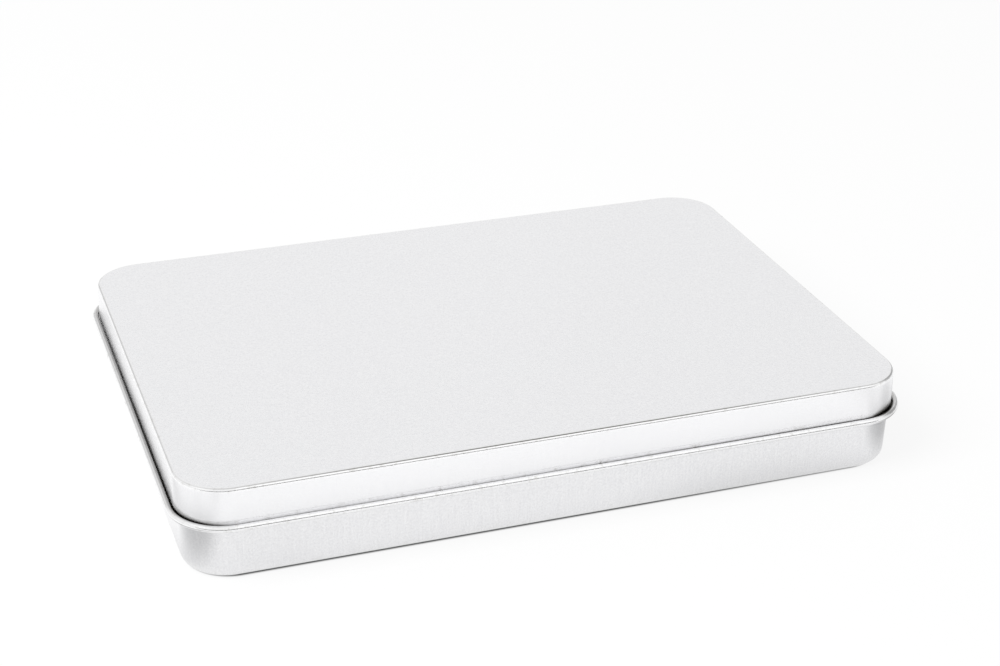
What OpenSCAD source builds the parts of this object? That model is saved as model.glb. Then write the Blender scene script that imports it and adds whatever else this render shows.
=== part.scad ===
// Flat rectangular tin with a lift-off slip lid.
// Both pieces are drawn from thin tinplate, so each one is a single sheet
// whose cross-section is carried round a rectangle with round corners.
// Millimetres. The origin is the middle of the flat underside, +Z is up.
// In every cross-section x is the distance outwards from the lid's outer face
// and y is the height above the surface that the tin stands on.

/* [Sheet] */
// Thickness of the tinplate
sheet_t = 0.25; // [0.2:0.01:0.28]

/* [Tin] */
// Length over the lid
lid_w = 190; // [140:1:260]
// Depth over the lid, front to back
lid_d = 135; // [90:1:200]
// Height of the closed tin
tin_h = 25.2; // [22:0.1:60]
// Radius of the lid's corners in plan, at its foot
corner_r = 13; // [9:0.5:24]

/* [Lid] */
// Height of the lid, from its foot to its top
lid_h = 9.9; // [8.6:0.1:14]
// Outer radius of the bend between the flat top and the skirt
lid_bend_r = 0.7; // [0.5:0.05:1.5]
// How far each side of the skirt leans out from its bend to its foot
lid_flare = 0.25; // [0.1:0.05:0.5]
// Height of the hem that is folded in at the lid's foot
hem_h = 1.5; // [0.8:0.1:3]
// Gap between the two layers of the hem
hem_gap = 0.1; // [0.05:0.01:0.2]

/* [Base] */
// Outer radius between the floor and the wall
foot_r = 3; // [1.5:0.1:4]
// How far the wall lies inside the lid's face, just under the bead
wall_inset = 0.7; // [0.1:0.05:0.8]
// How much further in the wall is at the foot
wall_draft = 0.45; // [0.1:0.05:1]
// Height of the neck above the shelf that the lid stops on
neck_h = 6.6; // [4:0.1:6.8]
// Outer radius of the inward roll at the mouth
mouth_roll_r = 0.7; // [0.5:0.05:0.9]

/* [Stop bead] */
// Outer radius of the bead's round nose
bead_r = 0.84; // [0.8:0.02:1]
// How far the middle of the nose stands out from the lid's face
bead_reach = 1; // [0.95:0.05:1.3]
// How far the shelf lies below the middle of the nose
shelf_drop = 0.1; // [0:0.02:0.1]
// Gap between the two layers of sheet that form the shelf
fold_gap = 0.1; // [0.05:0.01:0.12]
// Outer radius where the wall turns out into the bead
turn_r = 0.4; // [0.2:0.05:0.5]

/* [Fits] */
// Gap between the lid's hem and the neck, on each side
lid_fit = 0.15; // [0.1:0.01:0.25]
// Gap between the lid's foot and the shelf
seat_gap = 0.1; // [0.05:0.01:0.2]

/* [Hidden] */
$fn = 96;
tin_colour = [0.84, 0.85, 0.86];

// Lid: the hem is a half round of two layers and the gap between them
hem_r = sheet_t + hem_gap / 2;
lid_foot_z = tin_h - lid_h;
hem_z = lid_foot_z + hem_r;
bend_z = tin_h - lid_bend_r;
panel_x = -lid_flare - lid_bend_r;
hem_lean = lid_flare * hem_h / (bend_z - hem_z);

// Base: heights of the shelf and the bead, worked down from the lid's foot
shelf_z = lid_foot_z - seat_gap;
bead_z = shelf_z + shelf_drop;
fold_z = shelf_z - sheet_t - fold_gap;
under_z = fold_z - sheet_t;
turn_x = turn_r - wall_inset;
turn_z = under_z - turn_r;
wall_foot_x = -wall_inset - wall_draft;
foot_x = wall_foot_x - foot_r;
neck_x = -2 * hem_r - lid_fit;
neck_z = shelf_z + neck_h - mouth_roll_r;
mouth_x = neck_x - mouth_roll_r;

// Width of the flat strip that each cross-section carries of its panel
strip_w = corner_r / 4;

// A quarter ring of sheet round the origin, counted in quarter turns from +x
module quarter_bend(outer_r, quarter) {
    rotate(90 * quarter)
        intersection() {
            difference() {
                circle(outer_r);
                circle(outer_r - sheet_t);
            }
            square(2 * outer_r);
        }
}

// A length of sheet between two heights, with its outer face at the given x at each end
module wall_strip(low_x, low_z, top_x, top_z) {
    polygon([
        [low_x, low_z],
        [top_x, top_z],
        [top_x - sheet_t, top_z],
        [low_x - sheet_t, low_z]
    ]);
}

// Carries a cross-section round a rectangle with round corners
module around(width, depth, radius) {
    for (side = [0:3]) {
        along = side % 2 == 0 ? depth : width;
        across = side % 2 == 0 ? width : depth;
        run = along - 2 * radius;
        rotate([0, 0, 90 * side]) {
            translate([across / 2, run / 2, 0])
                rotate([90, 0, 0])
                    linear_extrude(run) children();
            translate([across / 2 - radius, run / 2, 0])
                rotate_extrude(angle = 90)
                    translate([radius, 0]) children();
        }
    }
}

// A flat panel with round corners, its edge set in from the lid's face by -x
module panel(x, z) {
    half_w = lid_w / 2 - corner_r;
    half_d = lid_d / 2 - corner_r;
    edge = corner_r + x;
    translate([0, 0, z])
        linear_extrude(sheet_t)
            union() {
                square([lid_w + 2 * x, 2 * half_d], center = true);
                square([2 * half_w, lid_d + 2 * x], center = true);
                for (sx = [-1, 1], sy = [-1, 1])
                    translate([sx * half_w, sy * half_d]) circle(edge);
            }
}

// Cross-section of the lid's edge: strip of panel, bend, leaning skirt, folded hem
module lid_section() {
    translate([panel_x - strip_w, tin_h - sheet_t]) square([strip_w, sheet_t]);
    translate([panel_x, bend_z]) quarter_bend(lid_bend_r, 0);
    wall_strip(0, hem_z, -lid_flare, bend_z);
    for (quarter = [2, 3])
        translate([-hem_r, hem_z]) quarter_bend(hem_r, quarter);
    wall_strip(sheet_t - 2 * hem_r, hem_z, sheet_t - 2 * hem_r - hem_lean, hem_z + hem_h);
}

// Cross-section of the bead: out from the wall, round a hollow nose and back to the neck
module bead_section() {
    translate([turn_x, turn_z]) quarter_bend(turn_r + sheet_t, 1);
    difference() {
        union() {
            translate([bead_reach, bead_z]) circle(bead_r);
            translate([turn_x, under_z]) square([bead_reach - turn_x, sheet_t]);
            translate([neck_x + hem_r, shelf_z - sheet_t])
                square([bead_reach - neck_x - hem_r, sheet_t]);
        }
        translate([bead_reach, bead_z]) circle(bead_r - sheet_t);
        translate([neck_x, fold_z]) square([bead_reach - neck_x, fold_gap]);
    }
    translate([neck_x + hem_r, shelf_z + hem_r]) quarter_bend(hem_r + sheet_t, 2);
}

// Cross-section of the base's edge: strip of floor, round foot, wall, bead, neck, rolled mouth
module base_section() {
    translate([foot_x - strip_w, 0]) square([strip_w, sheet_t]);
    translate([foot_x, foot_r]) quarter_bend(foot_r, 3);
    wall_strip(wall_foot_x, foot_r, -wall_inset, turn_z);
    bead_section();
    wall_strip(neck_x, shelf_z + hem_r, neck_x, neck_z);
    for (quarter = [0:2])
        translate([mouth_x, neck_z]) quarter_bend(mouth_roll_r, quarter);
}

module base() {
    color(tin_colour) union() {
        around(lid_w, lid_d, corner_r) base_section();
        panel(foot_x - strip_w, 0);
    }
}

module lid() {
    color(tin_colour) union() {
        around(lid_w, lid_d, corner_r) lid_section();
        panel(panel_x - strip_w, tin_h - sheet_t);
    }
}

base();
lid();
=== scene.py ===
# %% [markdown]
# # A flat tinplate tin with a lift-off lid
# The tin is two drawn pieces of thin tinplate: a lid and a base. Each is one sheet, so each is built here
# as one sheet too: its folded cross-section is worked out first, and that section is then carried round
# the tin. Everything is in metres, in the same frame as the construction model. The origin is in the
# middle of the underside.

# %% Frame
import math

import bmesh
import bpy
import numpy as np
from mathutils import Matrix, Vector


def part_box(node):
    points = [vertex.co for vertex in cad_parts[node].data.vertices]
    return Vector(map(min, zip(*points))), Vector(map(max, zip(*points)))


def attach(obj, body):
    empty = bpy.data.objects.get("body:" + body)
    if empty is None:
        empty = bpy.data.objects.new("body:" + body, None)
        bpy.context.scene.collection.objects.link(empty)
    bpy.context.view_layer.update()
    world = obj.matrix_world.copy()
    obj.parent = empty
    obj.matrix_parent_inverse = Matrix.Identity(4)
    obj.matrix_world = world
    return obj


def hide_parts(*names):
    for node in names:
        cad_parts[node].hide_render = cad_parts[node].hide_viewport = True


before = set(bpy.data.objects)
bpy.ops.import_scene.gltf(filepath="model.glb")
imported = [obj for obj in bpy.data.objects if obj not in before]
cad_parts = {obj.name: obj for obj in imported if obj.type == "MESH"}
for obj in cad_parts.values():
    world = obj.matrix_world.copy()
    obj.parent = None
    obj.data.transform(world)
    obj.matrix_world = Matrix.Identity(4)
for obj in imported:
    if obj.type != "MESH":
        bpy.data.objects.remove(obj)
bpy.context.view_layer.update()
MM = 0.001
DEG = math.pi / 180

# %% [markdown]
# ## The camera
# The picture is taken from the front left, from a quarter of a metre above the table, with a short
# telephoto lens. Its place and angles come from fitting the tin's straight edges, so they are written as
# plain numbers: where the lens is, how far it turns from straight ahead, how far it looks down, and how
# much it leans.

# %% Camera
EYE = Vector((-156.17, -461.27, 258.80)) * MM
HEADING, LOOK_DOWN, LEAN = -19.362 * DEG, 25.966 * DEG, 0.543 * DEG
LENS_MM = 71.51
NEAREST_SEEN, FARTHEST_SEEN = 0.01, 30.0

camera = bpy.data.objects.new("camera", bpy.data.cameras.new("camera"))
bpy.context.scene.collection.objects.link(camera)
camera.data.lens = LENS_MM
camera.data.clip_start = NEAREST_SEEN
camera.data.clip_end = FARTHEST_SEEN
turns = ((HEADING, "Z"), (math.pi / 2 - LOOK_DOWN, "X"), (LEAN, "Z"))
aim = Matrix.Identity(4)
for angle, axis in turns:
    aim = aim @ Matrix.Rotation(angle, 4, axis)
camera.matrix_world = Matrix.Translation(EYE) @ aim
bpy.context.scene.camera = camera
print("camera: lens", LENS_MM, "mm at", tuple(round(c, 3) for c in EYE))

# %% [markdown]
# ## Sizes
# The outer sizes are read from the frame, so the looks always fit the construction. The sizes of the folds
# belong to the sheet: tinplate a quarter of a millimetre thick can't be bent tighter than about its
# thickness. In every cross-section x counts outwards from the lid's outer face at its foot, and the height
# counts from the table.

# %% Sizes
SHEET = 0.25 * MM
HALF_SHEET = SHEET / 2
CORNER_R = 13 * MM
# The lid: how far the skirt leans out, the bend's radius, and the hem's height and radius
LID_FLARE = 0.25 * MM
LID_BEND_R = 0.7 * MM
HEM_H = 1.5 * MM
HEM_R = 0.3 * MM
# The base: foot, wall, the turn under the bead, the bead, and how far its middle is above the shelf
FOOT_R = 3 * MM
WALL_INSET = 0.7 * MM
WALL_DRAFT = 0.45 * MM
TURN_R = 0.4 * MM
BEAD_R = 0.84 * MM
BEAD_REACH = 1.0 * MM
SHELF_DROP = 0.1 * MM
# Play between the lid's foot and the shelf, play between the hem and the neck, and the roll at the mouth
SEAT_GAP = 0.1 * MM
NECK_FIT = 0.15 * MM
MOUTH_ROLL_R = 0.7 * MM

lid_low, lid_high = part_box("lid")
HALF_W, HALF_D = lid_high.x, lid_high.y
TOP, FOOT, MOUTH = lid_high.z, lid_low.z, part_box("base")[1].z
SHELF = FOOT - SEAT_GAP
BEAD_Z = SHELF + SHELF_DROP
print("lid", round(2 * HALF_W / MM, 2), "x", round(2 * HALF_D / MM, 2), "mm, top", round(TOP / MM, 2),
      "foot", round(FOOT / MM, 2), "mouth", round(MOUTH / MM, 2))

# %% [markdown]
# ## Folding a sheet
# On a real tin every bend comes from a press tool with a round edge. The section could be drawn point by
# point, but the press's own way is shorter and stays right when a size changes: a few corner points, each
# rounded with the radius of its tool. The line found this way is the middle of the sheet.

# %% Folding
# Pieces in a quarter bend, and the longest piece of a straight run
BEND_STEPS = 10
LONGEST_RUN = 0.6 * MM


def cut_runs(points, ways, bends):
    """Cuts each straight run into equal pieces no longer than LONGEST_RUN. A new point has its run's
    direction and no bend."""
    gaps = np.linalg.norm(np.diff(points, axis=0), axis=1)
    cuts = np.maximum(1, np.ceil(gaps / LONGEST_RUN)).astype(int)
    at = np.concatenate([k + np.arange(cut) / cut for k, cut in enumerate(cuts)] + [[len(points) - 1]])
    low = np.minimum(at.astype(int), len(points) - 2)
    part = (at - low)[:, None]
    new = at != at.astype(int)
    old = np.rint(at).astype(int)
    new_ways = np.where(new[:, None], ways[low], ways[old])
    return points[low] * (1 - part) + points[low + 1] * part, new_ways, np.where(new, 0.0, bends[old])


def folded(corners, radii):
    """Middle line of a folded sheet, as points, directions and bend (1 on an arc, 0 on a straight run). At
    each inner corner the line leaves its straight run at radius * tan(turn / 2) before the corner and turns
    on an arc about a centre one radius to the side, so both runs stay tangent to the arc."""
    corners = np.array(corners, float)
    runs = np.diff(corners, axis=0)
    runs /= np.linalg.norm(runs, axis=1)[:, None]
    points, ways, bends = [corners[:1]], [runs[:1]], [np.zeros(1)]
    for corner, before, after, radius in zip(corners[1:-1], runs[:-1], runs[1:], radii):
        turn = math.atan2(before[0] * after[1] - before[1] * after[0], before @ after)
        side = math.copysign(1, turn) * np.array((-before[1], before[0]))
        start = corner - before * radius * math.tan(abs(turn) / 2)
        count = max(2, round(BEND_STEPS * abs(turn) / (math.pi / 2)))
        angles = np.linspace(0, turn, count + 1)
        spin = np.array(((np.cos(angles), -np.sin(angles)), (np.sin(angles), np.cos(angles))))
        points.append(start + side * radius - np.einsum("ijk,j->ki", spin, side * radius))
        ways.append(np.einsum("ijk,j->ki", spin, before))
        bends.append(np.where((angles == 0) | (angles == turn), 0.5, 1.0))
    points.append(corners[-1:])
    return cut_runs(np.vstack(points), np.vstack(ways + [runs[-1:]]), np.concatenate(bends + [np.zeros(1)]))


def flat_length(line):
    """Length of a folded line, which is the width of flat sheet that it takes."""
    return np.linalg.norm(np.diff(line, axis=0), axis=1).sum()


trial = folded(((0, 0), (CORNER_R, 0), (CORNER_R, CORNER_R)), (FOOT_R,))[0]
print("a trial fold with the foot's tool takes", round(flat_length(trial) / MM, 2), "mm of sheet")

# %% [markdown]
# ## Two faces from one line
# A Solidify modifier could thicken a surface, but at a hem or a closed bead its two faces would run into
# each other. So both faces are worked out here: half the thickness to each side of the middle line, which
# makes the sheet equally thick all over.


# %% Both faces
def both_faces(line, ways, bends):
    """Outline of the sheet: half a thickness to the left of the middle line going out, then half a
    thickness to its right coming back. The bend comes along."""
    left = np.stack((-ways[:, 1], ways[:, 0]), axis=1) * HALF_SHEET
    return np.vstack((line + left, (line - left)[::-1])), np.concatenate((bends, bends[::-1]))


trial_outline = both_faces(np.array(((0, 0), (CORNER_R, 0))), np.array(((1, 0), (1, 0))), np.zeros(2))[0]
print("a flat trial is", round(np.ptp(trial_outline[:, 1]) / MM, 3), "mm thick")

# %% [markdown]
# ## Round the tin
# Seen from above the tin is a rectangle with round corners. Every point of that outline is a foot point on
# an inner rectangle plus one corner radius outwards. So a point of the section that lies x outside the
# lid's face goes to foot + outward * (corner radius + x), on the straights and in the corners alike.

# %% Round the tin
CORNER_STEPS, LONG_STEPS, SHORT_STEPS = 28, 44, 30
CORE_W, CORE_D = HALF_W - CORNER_R, HALF_D - CORNER_R


def round_the_tin():
    """Foot points and outward directions, anticlockwise from the right side: along each side the foot
    point slides and the direction stays, and in each corner the foot point stays and the direction turns
    by 90."""
    feet, outward = [], []
    corners = np.array(((1, -1), (1, 1), (-1, 1), (-1, -1), (1, -1))) * (CORE_W, CORE_D)
    for side, steps in enumerate((SHORT_STEPS, LONG_STEPS, SHORT_STEPS, LONG_STEPS)):
        along = np.linspace(0, 1, steps, endpoint=False)[:, None]
        feet += [corners[side] * (1 - along) + corners[side + 1] * along,
                 np.repeat(corners[side + 1][None], CORNER_STEPS, axis=0)]
        angle = (side + np.linspace(0, 1, CORNER_STEPS, endpoint=False)) * math.pi / 2
        angle = np.concatenate((np.full(steps, side * math.pi / 2), angle))
        outward.append(np.stack((np.cos(angle), np.sin(angle)), axis=1))
    return np.vstack(feet), np.vstack(outward)


FEET, OUTWARD = round_the_tin()
print("places round the tin:", len(FEET))

# %% [markdown]
# ## Painted shade in the folds
# Shade in the sheet's narrow places, and a few dark reflections, are painted into the tin's colour. This
# paint follows the folded section, where a pattern in space would miss it and an image would need a flat
# layout of the sheet. So it is worked out for each point of the section and kept as a number on the mesh,
# which the material reads. All of it has one form, that of a crevice: darkest at one point of the section,
# and clean past a certain distance from it.


# %% Crevice
def crevice(outline, bottom, full, none):
    """How deep each point lies in a crevice, at each place round the tin: 1 within the distance full of
    the bottom, 0 past the distance none, and between them the smooth step 3 p^2 - 2 p^3 of the part p.
    none is one number, or one for each place."""
    away = np.hypot(outline[:, 0] - bottom[0], outline[:, 1] - bottom[1])[None]
    none = np.reshape(none, (-1, 1))
    part = np.clip((none - away) / (none - full), 0, 1)
    return part * part * (3 - 2 * part)


trial_points = np.array(((0, 0), (SHEET / 2, 0), (SHEET, 0)))
print("a crevice as wide as the sheet:", crevice(trial_points, (0, 0), 0, SHEET).round(2).tolist())

# %% [markdown]
# ## Shade in the slot
# The slot between the lid's foot and the bead gets the most painted shade. It reaches furthest in the
# corners, and furthest of all in the right front corner, and there is less of it at the front and the back.

# %% Shade in the slot
SLOT_AT = (0, SHELF)
# Distances at which it is full and gone, and what a corner adds to the second
SLOT_FULL, SLOT_NONE, SLOT_CORNER = 0.35 * MM, 0.85 * MM, 0.65 * MM
# What the right front corner adds above and on the bead, and where in its turn: outward x and half width
DEEP_SKIRT, DEEP_BEAD = 2.2 * MM, 1.0 * MM
DEEP_AT, DEEP_WIDTH = 0.5, 0.3
# Share of the painted shade taken off at the front and at the back, and how much of that stays at the
# front's right end
FRONT_LESS_SHADE, BACK_LESS_SHADE, RIGHT_SHADE_KEPT = 0.85, 0.75, 0.75
# Only what faces straight to the front counts as front, so the direction's share is raised to a high power
FRONT_POWER = 8
FACING_FRONT = np.clip(-OUTWARD[:, 1], 0, 1) ** FRONT_POWER


def slot_painted_shade(outline):
    """Painted shade about the slot's bottom, with the reach of the skirt up to HALF_SHEET outwards and that
    of the bead beyond. In a corner the reach grows by the root of twice |outward x * outward y|, and in the
    right front one by a second amount. The share kept multiplies it."""
    corner = np.sqrt(2 * np.abs(OUTWARD[:, 0] * OUTWARD[:, 1]))
    deep = np.clip(1 - ((OUTWARD[:, 0] - DEEP_AT) / DEEP_WIDTH) ** 2, 0, 1) * (OUTWARD[:, 1] < 0)
    reach = SLOT_NONE + SLOT_CORNER * corner
    on_skirt = crevice(outline, SLOT_AT, SLOT_FULL, reach + DEEP_SKIRT * deep)
    on_bead = crevice(outline, SLOT_AT, SLOT_FULL, reach + DEEP_BEAD * deep)
    # Less painted shade at the front and at the back
    back = np.clip(0.5 + FEET[:, 1] / (2 * CORE_D), 0, 1)
    less_shade = FRONT_LESS_SHADE * FACING_FRONT * (1 - RIGHT_SHADE_KEPT * np.clip(FEET[:, 0] / CORE_W, 0, 1))
    shade_kept = (1 - less_shade) * (1 - BACK_LESS_SHADE * back)
    return np.where(outline[:, 0] < HALF_SHEET, on_skirt, on_bead) * shade_kept[:, None]


# Painted shade at the slot's bottom, at each place round the tin
in_the_slot = slot_painted_shade(np.array((SLOT_AT,)))
print("grease in the slot from", round(in_the_slot.min(), 2), "to", round(in_the_slot.max(), 2))

# %% [markdown]
# ## The other painted shade
# The bead's crown is painted darker at the tin's two ends, as shade in what it reflects, and shade is
# painted into the corner under the bead. Where the lid's bend starts, a fine dark line is painted in place
# of a dark reflection, which shows most on the front.

# %% Other painted shade
# Painted shade on the crown and in the corner under the bead: the darkest point, the distances at which it
# is full and gone, and how dark it gets
CROWN_AT, CROWN_FULL, CROWN_NONE, CROWN_PART = (0.7 * MM, SHELF + 0.9 * MM), 0.1 * MM, 0.85 * MM, 0.5
UNDER_AT, UNDER_FULL, UNDER_NONE, UNDER_PART = (-WALL_INSET, BEAD_Z - BEAD_R), 0.2 * MM, 0.7 * MM, 0.4
# The painted dark line on the bend, in place of a dark reflection: how far round the bend, its widths, how
# dark on the sides and on the front, and how much of the front's dark is gone at the front's two ends
LINE_TURN, LINE_FULL, LINE_NONE = 20 * DEG, 0.05 * MM, 0.28 * MM
LINE_SIDES, LINE_FRONT, LINE_ENDS = 0.15, 0.95, 0.6


def painted_bend_line(outline):
    """A painted dark line in the form of a narrow crevice, at the angle LINE_TURN on the lid's bend, at
    centre + radius * (sin, cos).
    """
    bend_centre = np.array((-LID_FLARE - LID_BEND_R, TOP - LID_BEND_R))
    line_at = bend_centre + LID_BEND_R * np.array((math.sin(LINE_TURN), math.cos(LINE_TURN)))
    middle = 1 - LINE_ENDS * (FEET[:, 0] / CORE_W) ** 2
    dark = LINE_SIDES + (LINE_FRONT * middle - LINE_SIDES) * FACING_FRONT
    return crevice(outline, line_at, LINE_FULL, LINE_NONE) * dark[:, None]


def painted_fold_shade(outline):
    """The darkest of all painted shade at each point of the section and each place round the tin."""
    # Painted shade on the bead's crown, most at the tin's two ends
    crown = CROWN_PART * crevice(outline, CROWN_AT, CROWN_FULL, CROWN_NONE) * (outline[:, 0] > HALF_SHEET)
    # Painted shade in the corner under the bead
    under = UNDER_PART * crevice(outline, UNDER_AT, UNDER_FULL, UNDER_NONE)
    marks = np.maximum(slot_painted_shade(outline), crown * np.abs(OUTWARD[:, 0])[:, None])
    return np.maximum(np.maximum(marks, under), painted_bend_line(outline))


on_the_crown = painted_fold_shade(np.array((CROWN_AT,)))
print("dark on the bead's crown from", round(on_the_crown.min(), 2), "to", round(on_the_crown.max(), 2))

# %% [markdown]
# ## Walls and panels
# The folded outline is a profile carried along a path, the way round the tin. It leaves a hole in the
# middle of the flat panel, and one grid on each face of the panel closes it.


# %% Walls and panels
def carried(outline):
    """The section at every place round the tin: foot + outward * (corner radius + x), at the section's own
    height. Faces join each place to the next one."""
    reach = CORNER_R + outline[:, 0]
    flat = FEET[:, None] + OUTWARD[:, None] * reach[None, :, None]
    height = np.broadcast_to(outline[:, 1], flat.shape[:2])[..., None]
    wall = np.concatenate((flat, height), axis=2)
    places, count = wall.shape[:2]
    i, j = np.meshgrid(np.arange(places), np.arange(count - 1), indexing="ij")
    nxt = (i + 1) % places
    faces = np.stack((i * count + j, nxt * count + j, nxt * count + j + 1, i * count + j + 1), axis=-1)
    return wall.reshape(-1, 3), faces.reshape(-1, 4)


def panel_grid(z, start, face_down):
    """A grid over the inner rectangle at the height z, with its points numbered from start."""
    x = np.linspace(-CORE_W, CORE_W, LONG_STEPS + 1)
    y = np.linspace(-CORE_D, CORE_D, SHORT_STEPS + 1)
    gx, gy = np.meshgrid(x, y, indexing="ij")
    a, b = np.meshgrid(np.arange(LONG_STEPS), np.arange(SHORT_STEPS), indexing="ij")
    corner = start + a * len(y) + b
    faces = np.stack((corner, corner + len(y), corner + len(y) + 1, corner + 1), axis=-1).reshape(-1, 4)
    points = np.stack((gx, gy, np.full_like(gx, z)), axis=-1).reshape(-1, 3)
    return points, faces[:, ::-1] if face_down else faces


print("a panel's grid has", len(panel_grid(TOP, 0, False)[1]), "faces")

# %% [markdown]
# ## One piece of sheet
# Wall and panel are merged where they meet, so that the piece is one closed skin, as a sheet is. Three
# numbers go with each point, by where it is in the fold: how much it is bent, how much shade is painted on
# it, and how smooth the drawing has wiped it.

# %% One piece of sheet
# The foot is bent by a wide tool, so it is burnished less than the tight bends
FOOT_BEND = 0.3
MERGE_WITHIN = 0.001 * MM


def close_up(mesh):
    """Merges the points where wall and panel meet, and turns all faces outwards."""
    work = bmesh.new()
    work.from_mesh(mesh)
    bmesh.ops.remove_doubles(work, verts=work.verts, dist=MERGE_WITHIN)
    bmesh.ops.recalc_face_normals(work, faces=work.faces)
    if work.calc_volume(signed=True) < 0:
        bmesh.ops.reverse_faces(work, faces=work.faces)
    print(mesh.name, "verts", len(work.verts), "faces", len(work.faces), "open edges",
          sum(not e.is_manifold for e in work.edges), "volume mm3", round(work.calc_volume() / MM**3, 1))
    work.to_mesh(mesh)
    work.free()


def sheet_mesh(name, outline, bend, low_z, high_z, smooth=0):
    """Closed mesh of one drawn piece, with its panel's two faces at low_z and high_z. fold_bend is the bend,
    the second number is the painted shade, and fold_smooth is smooth times the upright share of the
    section's step."""
    wall, wall_faces = carried(outline)
    points, faces = [wall], [wall_faces]
    for z in (low_z, high_z):
        grid, grid_faces = panel_grid(z, sum(len(p) for p in points), abs(z - outline[0, 1]) <= HALF_SHEET)
        points.append(grid)
        faces.append(grid_faces)
    mesh = bpy.data.meshes.new(name)
    mesh.from_pydata(np.vstack(points).tolist(), [], np.vstack(faces).tolist())
    step = np.gradient(outline, axis=0)
    steep = smooth * np.abs(step[:, 1]) / np.hypot(step[:, 0], step[:, 1])
    burnished = np.where(outline[:, 1] < FOOT_R, FOOT_BEND * bend, bend)
    numbers = {"fold_bend": np.tile(burnished, len(FEET)), "fold_painted_shade": painted_fold_shade(outline).ravel(),
               "fold_smooth": np.tile(steep, len(FEET))}
    for key, on_wall in numbers.items():
        values = np.zeros(len(mesh.vertices), np.float32)
        values[:len(wall)] = on_wall
        mesh.attributes.new(key, "FLOAT", "POINT").data.foreach_set("value", values)
    close_up(mesh)
    return mesh


print("points closer than", MERGE_WITHIN / MM, "mm are merged")

# %% [markdown]
# ## The lid
# Flat panel, one tight bend, a skirt that leans out by a quarter of a millimetre so that stacked lids part
# again, and a hem folded inwards at its foot, so that no raw edge shows. A box with rounded edges would
# look much the same from above, but it would have no inside and no hem when the lid is lifted.

# %% Lid
# The hem is two arcs with a very short run between them, so each has just under the full radius
HEM_SHARE = 0.98
# The skirt was wiped by the drawing tool, so its grain is finer
SKIRT_SMOOTH = 0.65

top_mid = TOP - HALF_SHEET
foot_mid = FOOT + HALF_SHEET
hem_mid = HEM_R - HALF_SHEET
lid_corners = [
    (-CORNER_R, top_mid),
    (-LID_FLARE - HALF_SHEET, top_mid),
    (-HALF_SHEET, foot_mid),
    (HALF_SHEET - 2 * HEM_R, foot_mid),
    (HALF_SHEET - 2 * HEM_R, FOOT + HEM_R + HEM_H),
]
lid_line = folded(lid_corners, (LID_BEND_R - HALF_SHEET, hem_mid * HEM_SHARE, hem_mid * HEM_SHARE))
lid_mesh = sheet_mesh("tin_lid", *both_faces(*lid_line), TOP - SHEET, TOP, SKIRT_SMOOTH)
print("the lid's section takes", round(flat_length(lid_line[0]) / MM, 2), "mm of sheet")

# %% [markdown]
# ## The base
# One sheet again, from the floor's middle outwards: round foot, wall, then outwards and over in a round
# bead that the lid stops on, back in as a narrow shelf, up as the neck that the lid slips over, and rolled
# in at the mouth so that the edge is safe for fingers. The bead could be a separate ring, but on a real
# tin it is a fold of the wall, and only a fold gives the fine dark line above and below it.

# %% Base
# The fold from bead to shelf is the tightest: its radius is this share of the sheet's thickness
FOLD_SHARE = 0.8
# The mouth's roll ends in an arc of just under its full radius, so that a very short run is left at its end
LAST_ARC_SHARE = 0.99

neck_mid = -2 * HEM_R - NECK_FIT - HALF_SHEET
bead_mid = BEAD_R - HALF_SHEET
roll_mid = MOUTH_ROLL_R - HALF_SHEET
bead_out, bead_in = BEAD_REACH + bead_mid, BEAD_REACH - bead_mid
bead_top, bead_low = BEAD_Z + bead_mid, BEAD_Z - bead_mid
wall_top, wall_foot = -WALL_INSET - HALF_SHEET, -WALL_INSET - WALL_DRAFT - HALF_SHEET
mouth_top = MOUTH - HALF_SHEET
shelf_mid = SHELF - HALF_SHEET
base_corners = [
    (-CORNER_R, HALF_SHEET),
    (wall_foot, HALF_SHEET),
    (wall_top, bead_low),
    (bead_out, bead_low),
    (bead_out, bead_top),
    (bead_in, bead_top),
    (bead_in, shelf_mid),
    (neck_mid, shelf_mid),
    (neck_mid, mouth_top),
    (neck_mid - 2 * roll_mid, mouth_top),
    (neck_mid - 2 * roll_mid, mouth_top - 2 * roll_mid),
    (neck_mid - roll_mid, mouth_top - 2 * roll_mid),
]
base_radii = (
    FOOT_R - HALF_SHEET, TURN_R + HALF_SHEET, bead_mid, bead_mid, bead_mid, SHEET * FOLD_SHARE,
    HEM_R + HALF_SHEET, roll_mid, roll_mid, roll_mid * LAST_ARC_SHARE,
)
base_line = folded(base_corners, base_radii)
base_mesh = sheet_mesh("tin_base", *both_faces(*base_line), 0, SHEET)
print("the base's section takes", round(flat_length(base_line[0]) / MM, 2), "mm of sheet")

# %% [markdown]
# ## Colour and nodes
# Colours are written as sRGB hex values, the way a paint chart gives them, and turned to the linear values
# that Blender's shaders expect. One small function adds a node, so that a material reads as a list of
# steps.


# %% Colour and nodes
def linear(hex_colour):
    """sRGB hex to linear. Up to 0.04045 a value v is divided by 12.92, and above it becomes
    ((v + 0.055) / 1.055) ^ 2.4."""
    parts = [int(hex_colour[k:k + 2], 16) / 255 for k in (1, 3, 5)]
    return tuple(v / 12.92 if v <= 0.04045 else ((v + 0.055) / 1.055) ** 2.4 for v in parts) + (1.0,)


def add(tree, kind, settings=None, **inputs):
    """Adds a node, sets its properties, and sets or links its inputs: a socket is linked, a value is set.
    An input goes by its label, with _ for a space, or by i and its number."""
    node = tree.nodes.new(kind)
    for key, value in (settings or {}).items():
        setattr(node, key, value)
    for key, value in inputs.items():
        socket = node.inputs[int(key[1:]) if key[0] == "i" and key[1:].isdigit() else key.replace("_", " ")]
        if isinstance(value, bpy.types.NodeSocket):
            tree.links.new(value, socket)
        else:
            socket.default_value = value
    return node


def new_material(name):
    """An empty node material and its tree."""
    material = bpy.data.materials.new(name)
    material.use_nodes = True
    material.node_tree.nodes.clear()
    return material, material.node_tree


print("mid grey as a linear value:", round(linear("#808080")[0], 3))

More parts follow.
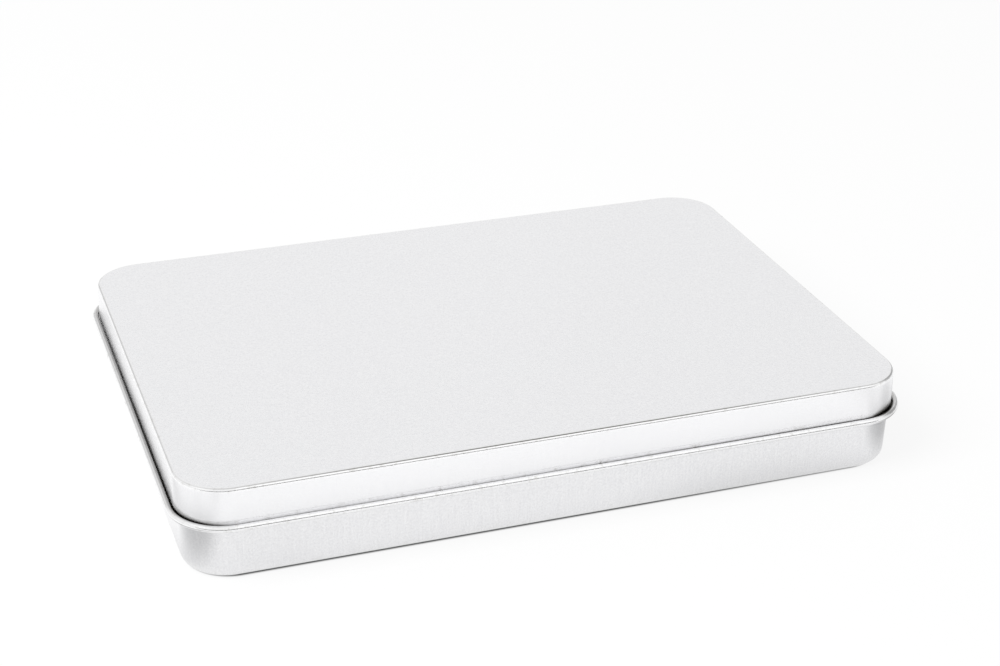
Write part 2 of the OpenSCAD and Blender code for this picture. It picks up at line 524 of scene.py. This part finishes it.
# %% [markdown]
# ## Tinplate, stone finish
# Tinplate is thin steel with a bright coat of tin. Here the steel was rolled with ground rolls, so the
# surface is a fine even grain, not a mirror: it shows light and dark as soft areas, with a faint speckle.
# That is a metal of low to middling roughness with a very shallow grain in its bump. Drawing the sheet
# over the press tool adds upright marks to the walls.

# %% Grain
# The real grain is about a tenth of a millimetre, and draw marks are as fine and several millimetres long.
# Both are too fine for the picture, so they are drawn this coarse to show at all.
GRAIN = 0.5 * MM
DRAW_WIDTH, DRAW_LENGTH = 0.4 * MM, 7 * MM
DRAW_SHARE = 0.3
MIDDLE = 0.5


def grain_height(tree, place):
    """Height of the grain from 0 to 1: noise as wide as the grain, mixed with noise that is stretched
    upright, and drawn towards the middle height where fold_smooth says so."""
    grain = add(tree, "ShaderNodeTexNoise", Vector=place, Scale=1 / GRAIN, Detail=2.0,
                Roughness=0.6).outputs[0]
    stretched = add(tree, "ShaderNodeVectorMath", {"operation": "MULTIPLY"}, i0=place,
                    i1=(1, 1, DRAW_WIDTH / DRAW_LENGTH)).outputs[0]
    drawn = add(tree, "ShaderNodeTexNoise", Vector=stretched, Scale=1 / DRAW_WIDTH, Detail=2.0).outputs[0]
    height = add(tree, "ShaderNodeMix", i0=DRAW_SHARE, i2=grain, i3=drawn).outputs[0]
    smooth = add(tree, "ShaderNodeAttribute", {"attribute_name": "fold_smooth"}).outputs["Fac"]
    return add(tree, "ShaderNodeMix", i0=smooth, i2=height, i3=MIDDLE).outputs[0]


print("grain", round(GRAIN / MM, 2), "mm, draw marks", round(DRAW_LENGTH / MM, 2), "mm long")

# %% [markdown]
# ## Bends, rubbed spots and painted shade
# The press burnishes the bends, so they are smoother than the flat sheet, and they are painted brighter, as
# burnished tin is and so that their highlights come out brighter. Handling rubs them dull again in spots. A
# rolled sheet is also a little duller in wide clouds. The painted shade lies over all.

# %% Tinplate
GRAIN_DEPTH = 0.006 * MM
# Heights between which the speckle turns to plain tin
SPECK_FROM, SPECK_TO = 0.34, 0.66
# Size and noise range of the rubbed spots, a millimetre or two wide, and of the clouds, a few centimetres
RUB, RUB_FROM, RUB_TO = 1.6 * MM, 0.53, 0.72
CLOUD, CLOUD_FROM, CLOUD_TO = 25 * MM, 0.3, 0.7
# How far a bend's tint goes to bright tin, as burnished tin does and so that the highlights on the bends
# come out brighter
BURNISH_AND_HIGHLIGHT = 0.6
ROUGH_LOW, ROUGH_HIGH, ROUGH_BEND, RUB_ADDS = 0.22, 0.25, 0.18, 0.15
# The last colour is that of the shade painted into the folds
TIN_SPECK, TIN, BRIGHT_TIN, RUBBED_TIN, PAINTED_SHADE_TINT = "#ececee", "#f7f7f8", "#fdfdfd", "#dedddb", "#4f4b43"


def tinplate():
    """Metallic, in a light grey. The tint goes from the speckle to plain tin with the grain's height, then
    to bright tin on the bends, which also brightens their highlights, to rubbed tin in the spots and to the
    painted shade in the folds. Clouds set the roughness of the flat sheet, the bends have their own, and the
    spots add to it."""
    material, tree = new_material("tinplate_stone_finish")
    place = add(tree, "ShaderNodeTexCoord").outputs["Object"]
    bend = add(tree, "ShaderNodeAttribute", {"attribute_name": "fold_bend"}).outputs["Fac"]
    # The shade painted into the folds, as kept on the mesh
    marks = add(tree, "ShaderNodeAttribute", {"attribute_name": "fold_painted_shade"}).outputs["Fac"]
    height = grain_height(tree, place)
    bump = add(tree, "ShaderNodeBump", Strength=1.0, Distance=GRAIN_DEPTH, Height=height).outputs[0]

    rub = add(tree, "ShaderNodeTexNoise", Vector=place, Scale=1 / RUB, Detail=4.0, Roughness=0.65).outputs[0]
    rub = add(tree, "ShaderNodeMapRange", Value=rub, From_Min=RUB_FROM, From_Max=RUB_TO).outputs[0]
    rub = add(tree, "ShaderNodeMath", {"operation": "MULTIPLY"}, i0=rub, i1=bend).outputs[0]
    speck = add(tree, "ShaderNodeMapRange", Value=height, From_Min=SPECK_FROM, From_Max=SPECK_TO).outputs[0]
    burnish_and_highlight = add(tree, "ShaderNodeMapRange", Value=bend, To_Max=BURNISH_AND_HIGHLIGHT).outputs[0]
    tint = linear(TIN_SPECK)
    for part, colour in ((speck, TIN), (burnish_and_highlight, BRIGHT_TIN), (rub, RUBBED_TIN), (marks, PAINTED_SHADE_TINT)):
        tint = add(tree, "ShaderNodeMix", {"data_type": "RGBA"}, i0=part, i6=tint,
                   i7=linear(colour)).outputs[2]

    cloud = add(tree, "ShaderNodeTexNoise", Vector=place, Scale=1 / CLOUD, Detail=3.0).outputs[0]
    rough = add(tree, "ShaderNodeMapRange", Value=cloud, From_Min=CLOUD_FROM, From_Max=CLOUD_TO,
                To_Min=ROUGH_LOW, To_Max=ROUGH_HIGH).outputs[0]
    rough = add(tree, "ShaderNodeMix", i0=bend, i2=rough, i3=ROUGH_BEND).outputs[0]
    rough = add(tree, "ShaderNodeMath", {"operation": "MULTIPLY_ADD"}, i0=rub, i1=RUB_ADDS,
                i2=rough).outputs[0]
    metal = add(tree, "ShaderNodeBsdfPrincipled", Metallic=1.0, Base_Color=tint, Roughness=rough,
                Normal=bump)
    add(tree, "ShaderNodeOutputMaterial", Surface=metal.outputs[0])
    return material


TINPLATE = tinplate()
print(TINPLATE.name, "nodes", len(TINPLATE.node_tree.nodes))

# %% [markdown]
# ## The pieces
# Each mesh holds its place already, so its object stays at the origin. It rides on its construction body
# and is shown in that body's place. Faces that meet at more than the sharp angle keep a hard edge: those
# are the sheet's cut edges, in the hem and in the mouth.

# %% Pieces
SHARP = 40 * DEG

for mesh, body in ((lid_mesh, "lid"), (base_mesh, "base")):
    mesh.materials.append(TINPLATE)
    mesh.shade_smooth()
    mesh.set_sharp_from_angle(angle=SHARP)
    piece = bpy.data.objects.new(mesh.name, mesh)
    bpy.context.scene.collection.objects.link(piece)
    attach(piece, body)
    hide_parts(body)
    print(piece.name, "rides on", body)

# %% [markdown]
# ## What the metal sees
# The tin stands on white paper that runs on out of sight, in a white surround. Bright metal has no tone of
# its own and shows what stands round it, so most of a studio's work is in that. The paper is plain white
# in the picture, and only in the metal does it have tones, as if cards round the tin shaded and lit it:
# soft steps that go by a distance, and soft oval patches. They could be cards too, but soft edges and
# places right beside the tin are easier to paint in its material.

# %% Tones by distance
# Where the dark under the foot is full and where it ends, as distances outwards from the lid's outline
CONTACT_IN, CONTACT_OUT = -3.1 * MM, -2.1 * MM
# Soft steps: what is measured, where the step begins and ends, and the tone before and after it
FROM_TIN, TO_ENDS = "outwards from the tin", "from the middle to the ends"
PAPER_STEPS = (
    (FROM_TIN, CONTACT_OUT, 10 * MM, 0.9, 0.95),
    (FROM_TIN, 28 * MM, 38 * MM, 1.0, 1.2),
    (TO_ENDS, HALF_W + 5 * MM, HALF_W + 18 * MM, 1.0, 0.85),
    (TO_ENDS, HALF_W + 18 * MM, HALF_W + 45 * MM, 1.0, 1.12),
)
SOFT = {"interpolation_type": "SMOOTHSTEP"}


def distance_from_tin(tree, quarter, radius):
    """Distance outwards from a rectangle of the lid's size with corners of this radius: the length of what
    lies outside its inner rectangle, less the radius. quarter is the place without its signs."""
    core = (HALF_W - radius, HALF_D - radius, 0)
    out = add(tree, "ShaderNodeVectorMath", {"operation": "SUBTRACT"}, i0=quarter, i1=core).outputs[0]
    out = add(tree, "ShaderNodeVectorMath", {"operation": "MAXIMUM"}, i0=out, i1=(0, 0, 0)).outputs[0]
    out = add(tree, "ShaderNodeVectorMath", {"operation": "LENGTH"}, i0=out).outputs["Value"]
    return add(tree, "ShaderNodeMath", {"operation": "SUBTRACT"}, i0=out, i1=radius).outputs[0]


def distance_tones(tree, quarter):
    """The tone of each soft step."""
    measures = {FROM_TIN: distance_from_tin(tree, quarter, CORNER_R),
                TO_ENDS: add(tree, "ShaderNodeSeparateXYZ", Vector=quarter).outputs["X"]}
    return [add(tree, "ShaderNodeMapRange", SOFT, Value=measures[measure], From_Min=begin, From_Max=end,
                To_Min=before, To_Max=after).outputs[0]
            for measure, begin, end, before, after in PAPER_STEPS]


print("tones by distance:", len(PAPER_STEPS))

# %% Tones in patches
# Soft oval patches: centre, reach along x and y, gain in the middle, and the part of the reach that is full
PAPER_PATCHES = (
    # Shade by the two front corners, and light beyond the left one
    ((-HALF_W - 14 * MM, -HALF_D), (19 * MM, 34 * MM), -0.38, 0.2),
    ((HALF_W + 14 * MM, -HALF_D), (19 * MM, 34 * MM), -0.38, 0.2),
    ((-HALF_W - 24 * MM, -HALF_D - 25 * MM), (18 * MM, 18 * MM), 0.13, 0.3),
    # Light along the left end, and shade along the right part of the front
    ((-HALF_W - 7 * MM, 22 * MM), (22 * MM, 85 * MM), 0.28, 0.45),
    ((HALF_W - 38 * MM, -HALF_D), (46 * MM, 17 * MM), -0.13, 0.2),
    # Shade by the right end, off the right front corner, and far out on the right
    ((HALF_W + 20 * MM, -22 * MM), (15 * MM, 28 * MM), -0.33, 0.2),
    ((HALF_W + 36 * MM, -64 * MM), (18 * MM, 28 * MM), -0.3, 0.2),
    ((HALF_W + 200 * MM, 60 * MM), (160 * MM, 200 * MM), -0.35, 0.6),
)


def patch_tones(tree, place):
    """The tone of each patch: 1 + gain within the full part of its reach, 1 outside it, and a smooth step
    between. The distance from the centre is divided by the reach, so that the oval's edge is at 1."""
    tones = []
    for centre, reach, gain, full in PAPER_PATCHES:
        off = add(tree, "ShaderNodeVectorMath", {"operation": "SUBTRACT"}, i0=place,
                  i1=(*centre, 0)).outputs[0]
        off = add(tree, "ShaderNodeVectorMath", {"operation": "DIVIDE"}, i0=off, i1=(*reach, 1)).outputs[0]
        off = add(tree, "ShaderNodeVectorMath", {"operation": "LENGTH"}, i0=off).outputs["Value"]
        tones.append(add(tree, "ShaderNodeMapRange", SOFT, Value=off, From_Min=full, From_Max=1.0,
                         To_Min=1 + gain, To_Max=1.0).outputs[0])
    return tones


print("tones in patches:", len(PAPER_PATCHES))

# %% [markdown]
# ## White paper
# The paper has to be as white as the surround, so that no horizon shows, and has to take the tin's shadow
# too. So the camera sees it as mostly an even white and partly as real matt paper, and all light that falls
# on the tin from it comes from the matt paper alone. Right under the foot's round edge a shadow is painted
# into the even white, dark as in any narrow gap.

# %% White paper
PAPER = "#f4f4f4"
EVEN_SHARE = 0.85
# The painted shadow under the foot has corners a little rounder than the lid's
CONTACT_R, CONTACT_TONE = 14.1 * MM, 0.05
# Added to the distance from the tin: the first up to a share of the half width, the second at the end
BOW_LEFT, BOW_RIGHT, BOW_FROM_SHARE = -0.07 * MM, 0.36 * MM, 0.2


def ray_kinds(tree):
    """Two sockets: 1 for a ray from the camera, and 1 for a ray that a mirror or glass sends on."""
    path = add(tree, "ShaderNodeLightPath").outputs
    sent_on = add(tree, "ShaderNodeMath", {"operation": "ADD"}, i0=path["Is Glossy Ray"],
                  i1=path["Is Transmission Ray"]).outputs[0]
    return path["Is Camera Ray"], sent_on


def white_paper():
    """Matt white paper, mixed by EVEN_SHARE with an even white for the camera and the metal. The even white
    is 1 for the camera and the product of all tones in the metal, with a painted shadow under the foot for
    both."""
    material, tree = new_material("white_paper")
    from_camera, in_metal = ray_kinds(tree)
    place = add(tree, "ShaderNodeTexCoord").outputs["Object"]
    quarter = add(tree, "ShaderNodeVectorMath", {"operation": "ABSOLUTE"}, i0=place).outputs[0]
    along = add(tree, "ShaderNodeSeparateXYZ", Vector=place).outputs["X"]
    # The painted shadow under the foot: dark inside the bowed outline, even white beyond it
    bow = add(tree, "ShaderNodeMapRange", Value=along, From_Min=BOW_FROM_SHARE * HALF_W, From_Max=HALF_W,
              To_Min=BOW_LEFT, To_Max=BOW_RIGHT).outputs[0]
    edge = distance_from_tin(tree, quarter, CONTACT_R)
    edge = add(tree, "ShaderNodeMath", {"operation": "ADD"}, i0=edge, i1=bow).outputs[0]
    clear = add(tree, "ShaderNodeMapRange", SOFT, Value=edge, From_Min=CONTACT_IN, From_Max=CONTACT_OUT,
                To_Min=CONTACT_TONE, To_Max=1.0).outputs[0]

    tones = distance_tones(tree, quarter) + patch_tones(tree, place)
    tone = tones[0]
    for part in tones[1:]:
        tone = add(tree, "ShaderNodeMath", {"operation": "MULTIPLY"}, i0=tone, i1=part).outputs[0]
    level = add(tree, "ShaderNodeMapRange", Value=in_metal, To_Min=1.0, To_Max=tone).outputs[0]
    level = add(tree, "ShaderNodeMath", {"operation": "MULTIPLY"}, i0=level, i1=clear).outputs[0]
    seen = add(tree, "ShaderNodeMath", {"operation": "ADD"}, i0=from_camera, i1=in_metal).outputs[0]
    share = add(tree, "ShaderNodeMath", {"operation": "MULTIPLY", "use_clamp": True}, i0=seen, i1=EVEN_SHARE)
    paper = add(tree, "ShaderNodeBsdfDiffuse", Color=linear(PAPER)).outputs[0]
    even = add(tree, "ShaderNodeEmission", Color=(1, 1, 1, 1), Strength=level).outputs[0]
    both = add(tree, "ShaderNodeMixShader", i0=share.outputs[0], i1=paper, i2=even).outputs[0]
    add(tree, "ShaderNodeOutputMaterial", Surface=both)
    return material


WHITE_PAPER = white_paper()
print(WHITE_PAPER.name, "nodes", len(WHITE_PAPER.node_tree.nodes))

# %% Floor
FLOOR_HALF = 6.0


def flat_sheet(name, corners, material):
    """A stage sheet through four corners."""
    mesh = bpy.data.meshes.new(name)
    mesh.from_pydata(corners, [], [(0, 1, 2, 3)])
    mesh.materials.append(material)
    sheet = bpy.data.objects.new(name, mesh)
    bpy.context.scene.collection.objects.link(sheet)
    return sheet


floor_corners = [(x * FLOOR_HALF, y * FLOOR_HALF, 0) for x, y in ((-1, -1), (1, -1), (1, 1), (-1, 1))]
floor = flat_sheet("floor", floor_corners, WHITE_PAPER)
print(floor.name, tuple(round(c, 1) for c in floor.dimensions), "m")

# %% [markdown]
# ## Cards and softboxes
# A photographer draws the light and dark areas on bright metal with cards. A low black card in front draws
# a thin dark line beside each highlight, grey ones to the back and the right shade parts of the top and of
# the bends, and two softboxes give the bright lines on the bends. Here they are sheets that show only in
# the metal, because then each one changes one area and nothing else.

# %% Cards and softboxes
# Name, azimuth clockwise from the back, half width, lower and upper edge as the tin sees them, all in
# degrees, distance in metres, and brightness: 0 is black velvet, 1 is white paper, and more is a softbox
CARDS = (
    ("front_low_card", 185, 55, 0, 12, 0.25, 0.02),
    ("back_left_card", -25, 11, 6, 26, 1.0, 0.68),
    ("back_right_card", 36, 13, 14, 36, 1.0, 0.92),
    ("right_card", 73, 24, 6, 40, 1.0, 0.45),
    ("front_softbox", 150, 28, 34, 74, 0.6, 1.15),
    ("left_softbox", 255, 20, 42, 62, 0.6, 1.12),
)
NOT_SEEN_BY = ("camera", "diffuse", "transmission", "volume_scatter", "shadow")


def card_face(name, level):
    """A face of an even brightness."""
    material, tree = new_material(name)
    face = add(tree, "ShaderNodeEmission", Color=(1, 1, 1, 1), Strength=level).outputs[0]
    add(tree, "ShaderNodeOutputMaterial", Surface=face)
    return material


def upright_card(name, azimuth, half_width, low, high, away, level):
    """A card that stands across the sight line from the tin and shows only in the metal. An edge lies off
    that line by the distance times the tangent of its angle."""
    ahead = Vector((math.sin(azimuth), math.cos(azimuth), 0)) * away
    side = Vector((math.cos(azimuth), -math.sin(azimuth), 0)) * math.tan(half_width) * away
    feet, heads = Vector((0, 0, math.tan(low) * away)), Vector((0, 0, math.tan(high) * away))
    corners = [ahead - side + feet, ahead + side + feet, ahead + side + heads, ahead - side + heads]
    card = flat_sheet(name, [tuple(c) for c in corners], card_face(name + "_face", level))
    for ray in NOT_SEEN_BY:
        setattr(card, "visible_" + ray, False)


for name, azimuth, half_width, low, high, away, level in CARDS:
    upright_card(name, azimuth * DEG, half_width * DEG, low * DEG, high * DEG, away, level)
    print(name, "brightness", level)

# %% [markdown]
# ## Surround and lamp
# The surround is pure white for the camera, a little less in the metal, and lights matt things less still,
# so that one soft lamp from the left has some shadow left to draw on the paper.

# %% Surround
MATT_LIGHT, IN_METAL_LIGHT = 0.7, 0.935

world = bpy.data.worlds.new("white_surround")
bpy.context.scene.world = world
world.use_nodes = True
tree = world.node_tree
tree.nodes.clear()
from_camera, in_metal = ray_kinds(tree)
light = add(tree, "ShaderNodeMapRange", Value=in_metal, To_Min=MATT_LIGHT, To_Max=IN_METAL_LIGHT).outputs[0]
light = add(tree, "ShaderNodeMath", {"operation": "MAXIMUM"}, i0=light, i1=from_camera).outputs[0]
sky = add(tree, "ShaderNodeBackground", Color=(1, 1, 1, 1), Strength=light).outputs[0]
add(tree, "ShaderNodeOutputWorld", Surface=sky)
print(world.name, "lights matt things at", MATT_LIGHT)

# %% Lamp
LAMP_SIDE, LAMP_LEVEL = 0.7, 0.5
LAMP_AT = Vector((-0.75, -0.2, 0.85))

lamp_data = bpy.data.lights.new("key_lamp", "AREA")
lamp_data.shape = "SQUARE"
lamp_data.size = LAMP_SIDE
# A small lamp of the power P gives white matt paper the brightness P * height / (pi^2 * distance^3)
lamp_data.energy = LAMP_LEVEL * math.pi ** 2 * LAMP_AT.length ** 3 / LAMP_AT.z
key_lamp = bpy.data.objects.new("key_lamp", lamp_data)
bpy.context.scene.collection.objects.link(key_lamp)
key_lamp.location = LAMP_AT
key_lamp.rotation_euler = (-LAMP_AT).to_track_quat("-Z", "Y").to_euler()
key_lamp.visible_camera = False
key_lamp.visible_glossy = False
print("lamp", round(lamp_data.energy, 2), "W at", tuple(round(c, 2) for c in LAMP_AT))

# %% [markdown]
# ## Finish
# The picture is shown without a film look, so that a colour comes out as it is written.

# %% Finish
view = bpy.context.scene.view_settings
view.view_transform = "Standard"
